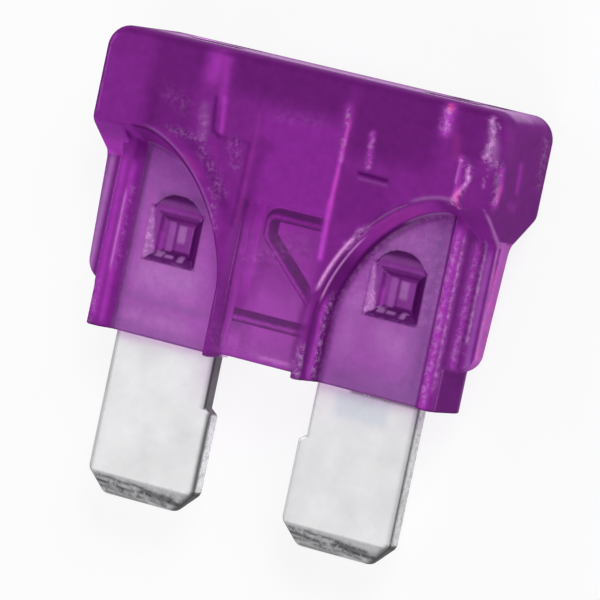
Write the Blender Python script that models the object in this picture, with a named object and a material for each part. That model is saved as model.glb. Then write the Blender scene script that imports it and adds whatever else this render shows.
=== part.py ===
"""Regular blade fuse for a road vehicle, lying on its back face.

It has two separate pieces. The housing is one translucent violet moulding,
open below. The fuse strip is one zinc stamping: two blades, two test tabs and
the thin Z-shaped link between them.

Sizes are in millimetres. Both pieces are drawn about the fuse's middle plane:
x runs across the blades, y from the housing's bottom edge towards the cap, and
z through the thickness. The empty mid_plane then lays the fuse down.
"""

import math

import bmesh
import bpy

MM = 0.001

# Strip: the sheet and the blades
STRIP_T = 0.65
STRIP_W = 14.5              # over the outer edges of both blades
STRIP_EDGE = 0.08           # rounding left by the press on every sheet edge
BLADE_W = 5.15              # blade below the step
BLADE_DROP = 6.65           # blade tip below the housing
STEP_INSET = 0.33           # how far the blade narrows at the step
STEP_DROP = 2.2             # step below the housing
STEP_RUN = 0.25
STEP_R = 0.1
TIP_CUT_X = 0.85            # corner cut of the blade tip
TIP_CUT_Y = 0.9
TIP_HEEL_R = 0.3            # rounding above the corner cut
TIP_TOE_R = 0.15            # rounding below it
TIP_BEVEL = 0.8             # height of the coined tip
TIP_T = 0.35                # thickness left at the very tip

# Strip: inside the housing
WAIST_W = 4.45              # blade beside the link
WAIST_Y = 3.0               # where the blade has narrowed to its waist
WAIST_FOOT_Y = 2.0
WAIST_R = 0.5               # bends at both ends of the narrowing run
SHOULDER_Y = 8.6
TAB_IN = 4.4                # test tab, from the middle
TAB_W = 2.5
TAB_TOP = 10.15
TAB_CORNER = 0.15
STAKE_X = 5.3               # staking hole, from the middle
STAKE_Y = 4.22
HOLE_W = 2.0
HOLE_H = 1.9
HOLE_CORNER = 0.2

# Strip: the link that melts
LINK_T = 0.35
LINK_W = 0.54
LINK_EDGE = 0.05
LINK_LOW_Y = 1.79           # bar that leaves the left blade
LINK_HIGH_Y = 6.14          # bar that reaches the right blade
LINK_LOW_X = 1.48           # turn at the end of the lower bar
LINK_HIGH_X = -1.12         # turn at the end of the upper bar
LINK_LOW_RISE = 1.16        # upright run between each bar and the diagonal
LINK_HIGH_RISE = 0.89
LINK_BEND = 0.32            # bend radius on the link's centre line
LINK_BITE = 0.3             # length of link that lies inside each blade

# Clearances between the strip and the housing
GAP_FACE = 0.055
GAP_EDGE = 0.06
GAP_TOP = 0.12
GAP_PEG = 0.05

# Housing: cap and shoulders
CAP_W = 18.9
CAP_T = 4.5
CAP_TOP = 12.3
CAP_EDGE_Y = 8.35           # lower edge of the cap's two faces
CAP_CORNER = 1.0
CAP_END_R = 0.48            # rounding along the two end faces
CAP_TOP_R = 0.28            # rounding along the top face
CAP_LIP_R = 0.3             # rounding where a face turns under the cap
SHOULDER_FOOT_Y = 6.95      # where the sloping shoulders meet the ribs

# Housing: side ribs and pillars
RIB_T = 0.76
RIB_TOP_W = 18.88           # over both ribs at the cap
RIB_FOOT_W = 18.56          # over both ribs above their rounded foot
RIB_FOOT_Y = 1.75
RIB_FOOT_R = 0.9
RIB_SPREAD = 0.08           # how far a rib's edge aims past the cap's end where it runs out
RIB_ROOT_X = 8.62           # where a rib's face starts to rise to the pillar
BODY_W = 16.6
PILLAR_T = 2.5
PILLAR_IN = 7.62            # front face of a pillar, inner and outer edge
PILLAR_OUT = 8.2

# Housing: windows and the chamber between them
WINDOW_T = 1.5              # thickness over both window panes
WINDOW_X = 7.25             # outer edge of the panes, from the middle
WINDOW_TOP = 7.75           # top of the panes
WINDOW_FLAT = 0.1           # straight bit of the pane's top at its outer edge
CHAMBER_W = 4.57            # across the chamber's front face at the bottom
CHAMBER_SHIFT = 0.25        # chamber to the right of the middle
CHAMBER_DRAFT = 0.22        # how far each side wall spreads towards its pane
CHAMBER_EDGE_R = 0.24
ARCH_RUN = 4.9              # quarter arch of the chamber's front edge
ARCH_SPRING = 2.6
ARCH_POWER = 1.7            # 2 would make it an ellipse, less makes it leaner
CAVITY_T = 3.0
CAVITY_TOP = 10.2
CAVITY_CORNER = 0.2
SIDE_WALL = 0.33            # chamber's side wall beside the cavity
FRONT_LIFT = 0.25           # chamber's faces end this far above the bottom

# Housing: stake pits
PIT_W = 2.55
PIT_H = 2.25
PIT_FLOOR_W = 1.2
PIT_FLOOR_H = 1.1
PEG_WEB = 0.4               # plastic left between a front and a back pit
CRATER_W = 2.2              # shallow arc above each pit
CRATER_RISE = 0.58
CRATER_DEPTH = 0.18

OVER = 1.0                  # how far cutters run past what they cut

# Facets along the curves
CORNER_STEPS = 5
SHEET_EDGE_STEPS = 3
CAP_CORNER_STEPS = 6
RIB_FOOT_STEPS = 8
CRATER_STEPS = 10
ARCH_STEPS = 16
LIP_TURNS = (0, 25, 50, 75)  # degrees at which a window's rounded front edge is drawn


# --- Outlines ------------------------------------------------------------

def arc(centre, radius_x, radius_y, start, end, steps):
    """Points on an ellipse, from one angle to another in degrees."""
    points = []
    for step in range(steps + 1):
        angle = math.radians(start + (end - start) * step / steps)
        x = centre[0] + radius_x * math.cos(angle)
        y = centre[1] + radius_y * math.sin(angle)
        points.append((x, y))
    return points


def fillet(before, corner, after, radius):
    """Arc that rounds the corner between two straight runs."""
    ux, uy = before[0] - corner[0], before[1] - corner[1]
    vx, vy = after[0] - corner[0], after[1] - corner[1]
    u_len, v_len = math.hypot(ux, uy), math.hypot(vx, vy)
    ux, uy, vx, vy = ux / u_len, uy / u_len, vx / v_len, vy / v_len
    half = math.acos(max(-1.0, min(1.0, ux * vx + uy * vy))) / 2
    reach = radius / math.sin(half)
    mid_len = math.hypot(ux + vx, uy + vy)
    cx = corner[0] + (ux + vx) / mid_len * reach
    cy = corner[1] + (uy + vy) / mid_len * reach
    tangent = radius / math.tan(half)
    start = math.atan2(corner[1] + uy * tangent - cy, corner[0] + ux * tangent - cx)
    end = math.atan2(corner[1] + vy * tangent - cy, corner[0] + vx * tangent - cx)
    turn = (end - start + math.pi) % (2 * math.pi) - math.pi
    return arc((cx, cy), radius, radius, math.degrees(start), math.degrees(start + turn), CORNER_STEPS)


def rounded(corners):
    """Closed outline from (x, y, radius) corners."""
    points = []
    for index, (x, y, radius) in enumerate(corners):
        if radius > 0:
            before = corners[index - 1]
            after = corners[(index + 1) % len(corners)]
            points += fillet(before, (x, y), after, radius)
        else:
            points.append((x, y))
    return points


def inset(outline, distance):
    """Counter-clockwise outline moved inwards."""
    moved = []
    for index, (x, y) in enumerate(outline):
        px, py = outline[index - 1]
        nx, ny = outline[(index + 1) % len(outline)]
        ax, ay = x - px, y - py
        bx, by = nx - x, ny - y
        a_len, b_len = math.hypot(ax, ay), math.hypot(bx, by)
        ax, ay, bx, by = -ay / a_len, ax / a_len, -by / b_len, bx / b_len
        share = distance / (1 + ax * bx + ay * by)
        moved.append((x + (ax + bx) * share, y + (ay + by) * share))
    return moved


def ribbon(path, width):
    """Outline of a band of one width along an open path."""
    left, right = [], []
    for index, (x, y) in enumerate(path):
        before = path[max(index - 1, 0)]
        after = path[min(index + 1, len(path) - 1)]
        dx, dy = after[0] - before[0], after[1] - before[1]
        length = math.hypot(dx, dy)
        nx, ny = -dy / length * width / 2, dx / length * width / 2
        left.append((x + nx, y + ny))
        right.append((x - nx, y - ny))
    return right + left[::-1]


def box_outline(x0, y0, x1, y1, radius=0.0):
    """Counter-clockwise rectangle with one corner radius."""
    return rounded([(x0, y0, radius), (x1, y0, radius), (x1, y1, radius), (x0, y1, radius)])


def mirrored(outline):
    """Outline on the other side of the middle, still counter-clockwise."""
    return [(-x, y) for x, y in reversed(outline)]


# --- Solids --------------------------------------------------------------

def level(outline, z):
    """Outline lifted to a height."""
    return [(x, y, z) for x, y in outline]


def prism(outline, z0, z1):
    """Rings of an upright prism."""
    return [level(outline, z0), level(outline, z1)]


def prism_along_x(outline_yz, x0, x1):
    """Rings of a prism that runs along x."""
    return [[(x, y, z) for y, z in outline_yz] for x in (x0, x1)]


def prism_along_y(outline_xz, y0, y1):
    """Rings of a prism that runs along y."""
    return [[(x, y, z) for x, z in outline_xz] for y in (y0, y1)]


def sheet(outline, thickness, edge):
    """Rings of a flat sheet with rounded edges on both faces."""
    rings = []
    half = thickness / 2
    for step in range(SHEET_EDGE_STEPS + 1):
        angle = math.pi / 2 * step / SHEET_EDGE_STEPS
        z = -half + edge * (1 - math.cos(angle))
        rings.append(level(inset(outline, edge * (1 - math.sin(angle))), z))
    top = [[(x, y, -z) for x, y, z in ring] for ring in reversed(rings)]
    return rings + top


def in_quadrant(rings, side, face):
    """Rings mirrored to the left (side -1) or to the back (face -1)."""
    return [[(side * x, y, face * z) for x, y, z in ring] for ring in rings]


def solid(name, shells, parent):
    """Object with one closed shell for each list of rings."""
    mesh = bpy.data.meshes.new(name)
    form = bmesh.new()
    for rings in shells:
        loops = [[form.verts.new([c * MM for c in point]) for point in ring] for ring in rings]
        count = len(loops[0])
        for low, high in zip(loops, loops[1:]):
            for i in range(count):
                j = (i + 1) % count
                form.faces.new((low[i], low[j], high[j], high[i]))
        form.faces.new(loops[0][::-1])
        form.faces.new(loops[-1])
    bmesh.ops.recalc_face_normals(form, faces=form.faces)
    form.to_mesh(mesh)
    form.free()
    piece = bpy.data.objects.new(name, mesh)
    piece.parent = parent
    bpy.context.scene.collection.objects.link(piece)
    return piece


def cutter(name, shells, parent):
    """Solid that only serves a Boolean."""
    piece = solid(name, shells, parent)
    piece.hide_render = True
    piece.display_type = "WIRE"
    return piece


def combine(piece, tool, operation):
    """Boolean modifier with the exact solver."""
    modifier = piece.modifiers.new(tool.name, "BOOLEAN")
    modifier.object = tool
    modifier.operation = operation
    modifier.solver = "EXACT"


def material(name, colour, roughness, metallic, transmission=0.0):
    """Principled material."""
    made = bpy.data.materials.new(name)
    made.use_nodes = True
    made.diffuse_color = (*colour, 1.0)
    shader = made.node_tree.nodes["Principled BSDF"]
    shader.inputs["Base Color"].default_value = (*colour, 1.0)
    shader.inputs["Roughness"].default_value = roughness
    shader.inputs["Metallic"].default_value = metallic
    shader.inputs["Transmission Weight"].default_value = transmission
    return made


# --- Fuse strip ----------------------------------------------------------

def blade_outline():
    """Right blade with its test tab."""
    outer = STRIP_W / 2
    inner = outer - BLADE_W
    neck = inner + STEP_INSET
    waist = outer - WAIST_W
    tip = -BLADE_DROP
    tab_out = TAB_IN + TAB_W
    corners = [
        (inner, tip + TIP_CUT_Y, TIP_HEEL_R),
        (inner + TIP_CUT_X, tip, TIP_TOE_R),
        (outer - TIP_CUT_X, tip, TIP_TOE_R),
        (outer, tip + TIP_CUT_Y, TIP_HEEL_R),
        (outer, SHOULDER_Y, TAB_CORNER),
        (tab_out, SHOULDER_Y, TAB_CORNER),
        (tab_out, TAB_TOP, TAB_CORNER),
        (TAB_IN, TAB_TOP, TAB_CORNER),
        (TAB_IN, SHOULDER_Y, TAB_CORNER),
        (waist, SHOULDER_Y, TAB_CORNER),
        (waist, WAIST_Y, WAIST_R),
        (neck, WAIST_FOOT_Y, WAIST_R),
        (neck, -STEP_DROP, STEP_R),
        (inner, -STEP_DROP - STEP_RUN, STEP_R),
    ]
    return rounded(corners)


def link_outline():
    """Z-shaped link from the left blade to the right one."""
    blade_edge = STRIP_W / 2 - WAIST_W
    start = (-blade_edge - LINK_BITE, LINK_LOW_Y)
    end = (blade_edge + LINK_BITE, LINK_HIGH_Y)
    turns = [
        start,
        (LINK_LOW_X, LINK_LOW_Y),
        (LINK_LOW_X, LINK_LOW_Y + LINK_LOW_RISE),
        (LINK_HIGH_X, LINK_HIGH_Y - LINK_HIGH_RISE),
        (LINK_HIGH_X, LINK_HIGH_Y),
        end,
    ]
    path = [start]
    for before, turn, after in zip(turns, turns[1:], turns[2:]):
        path += fillet(before, turn, after, LINK_BEND)
    path.append(end)
    return ribbon(path, LINK_W)


def tip_bevel(face):
    """Wedge that thins one face of both blade tips."""
    tip = -BLADE_DROP
    rise = (STRIP_T - TIP_T) / 2
    slope = rise / TIP_BEVEL
    low_z = TIP_T / 2 - slope * OVER
    high_z = STRIP_T / 2 + slope * OVER
    wedge = [
        (tip - OVER, low_z),
        (tip + TIP_BEVEL + OVER, high_z),
        (tip + TIP_BEVEL + OVER, high_z + OVER),
        (tip - OVER, high_z + OVER),
    ]
    reach = STRIP_W / 2 + OVER
    return in_quadrant(prism_along_x(wedge, -reach, reach), 1, face)


def stake_hole(side):
    """Opening through a blade for the housing's peg."""
    outline = box_outline(
        STAKE_X - HOLE_W / 2,
        STAKE_Y - HOLE_H / 2,
        STAKE_X + HOLE_W / 2,
        STAKE_Y + HOLE_H / 2,
        HOLE_CORNER,
    )
    return in_quadrant(prism(outline, -OVER, OVER), side, 1)


def build_strip(parent):
    """Two blades, joined by the link, with coined tips and staking holes."""
    right = blade_outline()
    blades = [sheet(right, STRIP_T, STRIP_EDGE), sheet(mirrored(right), STRIP_T, STRIP_EDGE)]
    strip = solid("fuse_strip", blades, parent)
    link = cutter("link_form", [sheet(link_outline(), LINK_T, LINK_EDGE)], parent)
    combine(strip, link, "UNION")
    tips = cutter("tip_wedges", [tip_bevel(1), tip_bevel(-1)], parent)
    combine(strip, tips, "DIFFERENCE")
    holes = cutter("stake_holes", [stake_hole(1), stake_hole(-1)], parent)
    combine(strip, holes, "DIFFERENCE")
    strip.data.materials.append(material("strip_zinc", (0.74, 0.74, 0.75), 0.32, 1.0))
    return strip


# --- Housing -------------------------------------------------------------

def edge_inset(z, radius):
    """How far a rounded edge has drawn in at a height."""
    depth = abs(z) - (CAP_T / 2 - radius)
    if depth <= 0:
        return 0.0
    return radius - math.sqrt(max(radius * radius - depth * depth, 0.0))


def block():
    """Rounded block that the whole moulding is cut from."""
    heights = []
    for step in range(CORNER_STEPS + 1):
        angle = math.pi / 2 * step / CORNER_STEPS
        heights.append(CAP_T / 2 - CAP_END_R * (1 - math.sin(angle)))
    rings = []
    for z in [-height for height in reversed(heights)] + heights:
        end = edge_inset(z, CAP_END_R)
        top = edge_inset(z, CAP_TOP_R)
        half = CAP_W / 2 - end
        centre = (CAP_W / 2 - CAP_CORNER, CAP_TOP - CAP_CORNER)
        corner = arc(centre, CAP_CORNER - end, CAP_CORNER - top, 0, 90, CAP_CORNER_STEPS)
        right = [(half, 0.0)] + corner
        left = [(-x, y) for x, y in reversed(right)]
        rings.append(level(right + left, z))
    return rings


def arch(x, run, top):
    """Quarter superellipse from the foot of an arch at x to its crown."""
    power = 2 / ARCH_POWER
    points = []
    for step in range(ARCH_STEPS + 1):
        angle = math.pi / 2 * step / ARCH_STEPS
        across = run * (1 - math.cos(angle) ** power)
        up = (top - ARCH_SPRING) * math.sin(angle) ** power
        points.append((x + across, ARCH_SPRING + up))
    return points


def window(side):
    """Space in front of one pane, bounded by the chamber's arch."""
    half_pane = WINDOW_T / 2
    half_cap = CAP_T / 2
    shift = side * CHAMBER_SHIFT
    front_x = CHAMBER_W / 2 + shift
    foot_x = front_x + CHAMBER_DRAFT
    foot_run = WINDOW_X - WINDOW_FLAT - foot_x
    past_pillar = (PILLAR_IN + PILLAR_OUT) / 2

    def ring(z, flare, outer_x):
        share = (z - half_pane) / (half_cap - half_pane)
        x = foot_x + (front_x - foot_x) * share - flare
        run = foot_run + (ARCH_RUN - foot_run) * share + flare
        top = WINDOW_TOP + (CAP_EDGE_Y - WINDOW_TOP) * share + flare
        return level([(x, -OVER)] + arch(x, run, top) + [(outer_x, top), (outer_x, -OVER)], z)

    rings = [ring(half_pane, 0.0, WINDOW_X), ring(PILLAR_T / 2, 0.0, PILLAR_IN)]
    for degrees in LIP_TURNS:
        angle = math.radians(degrees)
        z = half_cap - CHAMBER_EDGE_R * (1 - math.sin(angle))
        rings.append(ring(z, CHAMBER_EDGE_R * (1 - math.cos(angle)), past_pillar))
    rise = CHAMBER_EDGE_R / 2
    flare = CHAMBER_EDGE_R * (1 - math.cos(angle)) + rise * math.tan(angle)
    rings.append(ring(z + rise, flare, past_pillar))
    return rings


def flank_face():
    """Space in front of one pillar and its rib, in the x-z plane."""
    half_pillar = PILLAR_T / 2
    far_x = CAP_W / 2 + OVER
    far_z = CAP_T / 2 + OVER
    return [
        (PILLAR_IN, half_pillar),
        (PILLAR_OUT, half_pillar),
        (RIB_ROOT_X, RIB_T / 2),
        (far_x, RIB_T / 2),
        (far_x, far_z),
        (PILLAR_IN, far_z),
    ]


def shoulder_slope():
    """Space below the cap's sloping shoulder, in the y-z plane."""
    half_cap = CAP_T / 2
    slope = (CAP_EDGE_Y - SHOULDER_FOOT_Y) / (half_cap - RIB_T / 2)
    low = (SHOULDER_FOOT_Y - slope * RIB_T / 2, 0.0)
    lip = fillet(low, (CAP_EDGE_Y, half_cap), (CAP_TOP, half_cap), CAP_LIP_R)
    end_y = lip[-1][0]
    return [(-OVER, 0.0), low] + lip + [(end_y, half_cap + OVER), (-OVER, half_cap + OVER)]


def rib_trim():
    """Space outside one side of the body and its rib."""
    body = BODY_W / 2
    foot = RIB_FOOT_W / 2
    top = RIB_TOP_W / 2
    far_x = CAP_W / 2 + OVER
    bend_y = RIB_FOOT_Y + RIB_FOOT_R
    curve = arc((foot - RIB_FOOT_R, bend_y), RIB_FOOT_R, RIB_FOOT_R, 270, 360, RIB_FOOT_STEPS)
    top_y = (SHOULDER_FOOT_Y + CAP_EDGE_Y) / 2
    return [(body, -OVER), (body, RIB_FOOT_Y)] + curve + [
        (top, SHOULDER_FOOT_Y),
        (CAP_W / 2 + RIB_SPREAD, top_y),
        (far_x, top_y),
        (far_x, -OVER),
    ]


def strip_slot():
    """Flat slot that the strip slides up into."""
    half = STRIP_W / 2 + GAP_EDGE
    outline = box_outline(-half, -OVER, half, SHOULDER_Y + GAP_TOP)
    depth = STRIP_T / 2 + GAP_FACE
    return prism(outline, -depth, depth)


def tab_pocket(side):
    """Slot through the top face over one test tab."""
    depth = STRIP_T / 2 + GAP_FACE
    outline = box_outline(
        TAB_IN - GAP_EDGE,
        SHOULDER_Y,
        TAB_IN + TAB_W + GAP_EDGE,
        CAP_TOP + OVER,
    )
    return in_quadrant(prism(outline, -depth, depth), side, 1)


def cavity():
    """Chamber around the link, open at the bottom."""
    share = (CAVITY_T - WINDOW_T) / (CAP_T - WINDOW_T)
    half = CHAMBER_W / 2 + CHAMBER_DRAFT * (1 - share) - SIDE_WALL
    outline = box_outline(
        CHAMBER_SHIFT - half,
        -CAVITY_T / 2,
        CHAMBER_SHIFT + half,
        CAVITY_T / 2,
        CAVITY_CORNER,
    )
    return prism_along_y(outline, -OVER, CAVITY_TOP)


def face_lift(face):
    """Trims the bottom edge of one of the chamber's faces."""
    half = CHAMBER_W / 2 - SIDE_WALL
    outline = box_outline(CHAMBER_SHIFT - half, -OVER, CHAMBER_SHIFT + half, FRONT_LIFT)
    return in_quadrant(prism(outline, CAVITY_T / 2 - SIDE_WALL, CAP_T / 2 + OVER), 1, face)


def peg(side):
    """Plastic staked through one blade's hole."""
    half_w = HOLE_W / 2 - GAP_PEG
    half_h = HOLE_H / 2 - GAP_PEG
    outline = box_outline(
        STAKE_X - half_w,
        STAKE_Y - half_h,
        STAKE_X + half_w,
        STAKE_Y + half_h,
        HOLE_CORNER - GAP_PEG,
    )
    depth = (STRIP_T / 2 + GAP_FACE + WINDOW_T / 2) / 2
    return in_quadrant(prism(outline, -depth, depth), side, 1)


def stake_pit(side, face):
    """Four-sided pit left by the staking punch."""
    floor_z = PEG_WEB / 2
    mouth_z = WINDOW_T / 2
    grow = (mouth_z + GAP_FACE - floor_z) / (mouth_z - floor_z)

    def ring(z, share):
        half_w = (PIT_FLOOR_W + (PIT_W - PIT_FLOOR_W) * share) / 2
        half_h = (PIT_FLOOR_H + (PIT_H - PIT_FLOOR_H) * share) / 2
        outline = box_outline(
            STAKE_X - half_w,
            STAKE_Y - half_h,
            STAKE_X + half_w,
            STAKE_Y + half_h,
        )
        return level(outline, z)

    return in_quadrant([ring(floor_z, 0.0), ring(mouth_z + GAP_FACE, grow)], side, face)


def crater(side, face):
    """Shallow arc-shaped dent above a stake pit."""
    half = CRATER_W / 2
    radius = (half * half + CRATER_RISE * CRATER_RISE) / (2 * CRATER_RISE)
    centre_y = STAKE_Y + PIT_H / 2 + CRATER_RISE - radius
    spread = math.degrees(math.asin(half / radius))
    curve = arc((STAKE_X, centre_y), radius, radius, 90 - spread, 90 + spread, CRATER_STEPS)
    outline = curve + [(STAKE_X - half, STAKE_Y), (STAKE_X + half, STAKE_Y)]
    mouth_z = WINDOW_T / 2
    return in_quadrant(prism(outline, mouth_z - CRATER_DEPTH, mouth_z + OVER), side, face)


def build_housing(parent):
    """One moulding: cap, shoulders, ribs, windows and the link's chamber."""
    sides = (1, -1)
    quadrants = [(side, face) for side in sides for face in sides]
    depth = CAP_T / 2 + OVER
    far_x = CAP_W / 2 + OVER
    housing = solid("housing", [block()], parent)

    flanks = cutter(
        "flanks",
        [in_quadrant(prism_along_y(flank_face(), -OVER, CAP_TOP), *q) for q in quadrants],
        parent,
    )
    slopes = cutter(
        "shoulder_slopes",
        [in_quadrant(prism_along_x(shoulder_slope(), WINDOW_X, far_x), *q) for q in quadrants],
        parent,
    )
    combine(flanks, slopes, "INTERSECT")
    combine(housing, flanks, "DIFFERENCE")

    panes = [in_quadrant(window(side), side, face) for side, face in quadrants]
    combine(housing, cutter("window_forms", panes, parent), "DIFFERENCE")

    trims = [in_quadrant(prism(rib_trim(), -depth, depth), side, 1) for side in sides]
    combine(housing, cutter("rib_trims", trims, parent), "DIFFERENCE")

    combine(housing, cutter("cavity_core", [cavity()], parent), "DIFFERENCE")
    combine(housing, cutter("slot_core", [strip_slot()], parent), "DIFFERENCE")
    pockets = [tab_pocket(side) for side in sides]
    combine(housing, cutter("tab_cores", pockets, parent), "DIFFERENCE")
    lifts = [face_lift(face) for face in sides]
    combine(housing, cutter("face_lifts", lifts, parent), "DIFFERENCE")

    combine(housing, cutter("pegs", [peg(side) for side in sides], parent), "UNION")
    craters = [crater(side, face) for side, face in quadrants]
    combine(housing, cutter("craters", craters, parent), "DIFFERENCE")
    pits = [stake_pit(side, face) for side, face in quadrants]
    combine(housing, cutter("stake_pits", pits, parent), "DIFFERENCE")

    housing.data.materials.append(material("housing_violet", (0.2, 0.02, 0.25), 0.12, 0.0, 0.6))
    return housing


def clear_scene():
    """Removes every object of the open scene."""
    for item in list(bpy.data.objects):
        bpy.data.objects.remove(item, do_unlink=True)


def main():
    clear_scene()
    mid_plane = bpy.data.objects.new("mid_plane", None)
    mid_plane.location = (0.0, (BLADE_DROP - CAP_TOP) / 2 * MM, CAP_T / 2 * MM)
    bpy.context.scene.collection.objects.link(mid_plane)
    build_strip(mid_plane)
    build_housing(mid_plane)


main()
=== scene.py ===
"""Looks of a blade fuse that lies on its back: translucent violet moulding, zinc strip.

Both pieces are meshed from signed distances, so that every edge is rounded as on
the moulding and the stamping. Soft coats and flecks of colour are then painted on
their vertices, and the two materials read them. Sizes are in millimetres about the
fuse's middle plane: x across the blades, y from the housing's bottom edge towards
the cap, z through the thickness. place() takes them into the row frame, in metres.
"""

import math

import bmesh
import bpy
import numpy as np
from mathutils import Matrix, Vector

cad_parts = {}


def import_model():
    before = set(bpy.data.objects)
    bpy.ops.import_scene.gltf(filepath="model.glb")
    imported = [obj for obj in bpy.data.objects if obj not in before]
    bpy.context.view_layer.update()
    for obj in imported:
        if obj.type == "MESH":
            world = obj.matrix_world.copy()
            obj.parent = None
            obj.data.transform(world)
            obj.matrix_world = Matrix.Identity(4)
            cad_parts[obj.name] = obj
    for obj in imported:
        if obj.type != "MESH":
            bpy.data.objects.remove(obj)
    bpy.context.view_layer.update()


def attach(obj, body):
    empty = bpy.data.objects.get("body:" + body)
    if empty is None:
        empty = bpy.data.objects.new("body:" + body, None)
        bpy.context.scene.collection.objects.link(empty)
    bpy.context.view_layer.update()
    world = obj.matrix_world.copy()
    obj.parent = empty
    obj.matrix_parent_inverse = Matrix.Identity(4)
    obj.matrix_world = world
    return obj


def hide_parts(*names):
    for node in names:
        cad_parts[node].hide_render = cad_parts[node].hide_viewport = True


MM = 0.001

# Strip
STRIP_T = 0.65
STRIP_W = 14.5
BLADE_W = 5.15
BLADE_DROP = 6.65
STEP_INSET = 0.33
STEP_DROP = 2.2
STEP_RUN = 0.25
TIP_CUT_X = 0.85
TIP_CUT_Y = 0.9
TIP_BEVEL = 0.8
TIP_T = 0.35
WAIST_W = 4.45
WAIST_Y = 3.0
WAIST_FOOT_Y = 2.0
SHOULDER_Y = 8.6
TAB_IN = 4.4
TAB_W = 2.5
TAB_TOP = 10.15
TAB_ROOT = 1.0  # how far the tab's outline reaches into the blade
STAKE_X = 5.3
STAKE_Y = 4.22
HOLE_W = 2.0
HOLE_H = 1.9
LINK_T = 0.35
LINK_W = 0.54
LINK_LOW_Y = 1.79
LINK_HIGH_Y = 6.14
LINK_LOW_X = 1.48
LINK_HIGH_X = -1.12
LINK_LOW_RISE = 1.16
LINK_HIGH_RISE = 0.89
LINK_BEND = 0.32
LINK_BITE = 0.3  # how far the link's ends reach into the blades
TIP_EDGE_R = 0.05
STRIP_CORNER = 0.12
TAB_CORNER = 0.15
HOLE_CORNER = 0.2
SHEET_EDGE_R = 0.09
LINK_EDGE_R = 0.06
LINK_FILLET = 0.08

# Housing
GAP_FACE = 0.055
GAP_EDGE = 0.06
GAP_TOP = 0.12
GAP_PEG = 0.05
CAP_W = 18.9
CAP_T = 4.5
CAP_TOP = 12.3
CAP_EDGE_Y = 8.35
CAP_CORNER = 1.0
CAP_END_R = 0.45
SHOULDER_FOOT_Y = 6.95
RIB_T = 0.76
RIB_TOP_W = 18.88
RIB_FOOT_W = 18.56
RIB_FOOT_Y = 1.75
RIB_FOOT_R = 0.9
RIB_ROOT_X = 8.62
BODY_W = 16.6
PILLAR_T = 2.5
PILLAR_IN = 7.62
PILLAR_OUT = 8.2
WINDOW_T = 1.5
WINDOW_X = 7.25
WINDOW_TOP = 7.75
WINDOW_FLAT = 0.1
CHAMBER_W = 4.57
CHAMBER_SHIFT = 0.25
CHAMBER_DRAFT = 0.22
CHAMBER_EDGE_R = 0.22
ARCH_RUN = 4.9
ARCH_SPRING = 2.6
ARCH_POWER = 1.7
CAVITY_T = 3.0
CAVITY_TOP = 10.2
SIDE_WALL = 0.33
FRONT_LIFT = 0.25
PIT_W = 2.55
PIT_H = 2.25
PIT_FLOOR_W = 1.2
PIT_FLOOR_H = 1.1
PEG_WEB = 0.4
CRATER_W = 2.2
CRATER_RISE = 0.58
CRATER_DEPTH = 0.18
PIT_COS_X = 0.65  # cosines of the slopes of the pit's walls
PIT_COS_Y = 0.7
CUT_OVERLAP = 0.2  # how far a cut reaches past its own edge
POCKET_PAST_TOP = 2.0  # so that the pockets are open at the top
SHARP_R = 0.06
CRATER_EDGE_R = 0.08
PIT_EDGE_R = 0.05
PEG_CORNER = 0.15
PEG_FILLET = 0.04
CAVITY_CORNER = 0.2
CAVITY_END_R = 0.15
POCKET_FILLET = 0.05
PANE_FILLET = 0.1
PILLAR_FILLET = 0.12
RIB_FILLET = 0.15

# Meshes: spacing of the grid, and the share of the triangles that stays
HOUSING_PITCH = 0.075
HOUSING_SHARE = 0.46
STRIP_PITCH = 0.065
STRIP_SHARE = 0.8

SHOULDER_SLOPE = (CAP_EDGE_Y - SHOULDER_FOOT_Y) / (CAP_T / 2 - RIB_T / 2)
MID_Y = (CAP_TOP - BLADE_DROP) / 2


def add_object(name, data):
    """New object in the scene."""
    made = bpy.data.objects.new(name, data)
    bpy.context.scene.collection.objects.link(made)
    return made


def place(points):
    """Points in millimetres about the middle plane, as the row frame's metres."""
    points = np.asarray(points, float)
    return (points + (0.0, -MID_Y, CAP_T / 2)) * MM


# --- Signed distances, negative inside

def both(a, b, radius=0.0):
    """Inside both shapes, with a rounded edge where they meet."""
    if radius <= 0:
        return np.maximum(a, b)
    a, b = a + radius, b + radius
    return np.minimum(np.maximum(a, b), 0) + np.hypot(np.maximum(a, 0), np.maximum(b, 0)) - radius


def either(a, b, radius=0.0):
    """Inside at least one shape, with a filleted corner between them."""
    return -both(-a, -b, radius)


def without(a, b, radius=0.0):
    """Inside the first shape and not the second, with a rounded edge."""
    return both(a, -b, radius)


def rectangle(x, y, x0, y0, x1, y1, corner=0.0):
    """Rounded rectangle."""
    across = np.abs(x - (x0 + x1) / 2) - (x1 - x0) / 2
    along = np.abs(y - (y0 + y1) / 2) - (y1 - y0) / 2
    return both(across, along, corner)


def ramp(t, xs, values):
    """Piecewise linear function and the cosine of its slope."""
    value = np.interp(t, xs, values)
    slopes = np.diff(values) / np.diff(xs)
    index = np.clip(np.searchsorted(xs, t) - 1, 0, len(slopes) - 1)
    slope = np.where((t < xs[0]) | (t > xs[-1]), 0.0, slopes[index])
    return value, 1 / np.sqrt(1 + slope * slope)


def path_distance(x, y, path):
    """Distance to an open path."""
    best = np.full(np.broadcast(x, y).shape, 1e9)
    for (ax, ay), (bx, by) in zip(path, path[1:]):
        dx, dy = bx - ax, by - ay
        share = np.clip(((x - ax) * dx + (y - ay) * dy) / (dx * dx + dy * dy), 0, 1)
        best = np.minimum(best, np.hypot(x - ax - share * dx, y - ay - share * dy))
    return best


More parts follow.
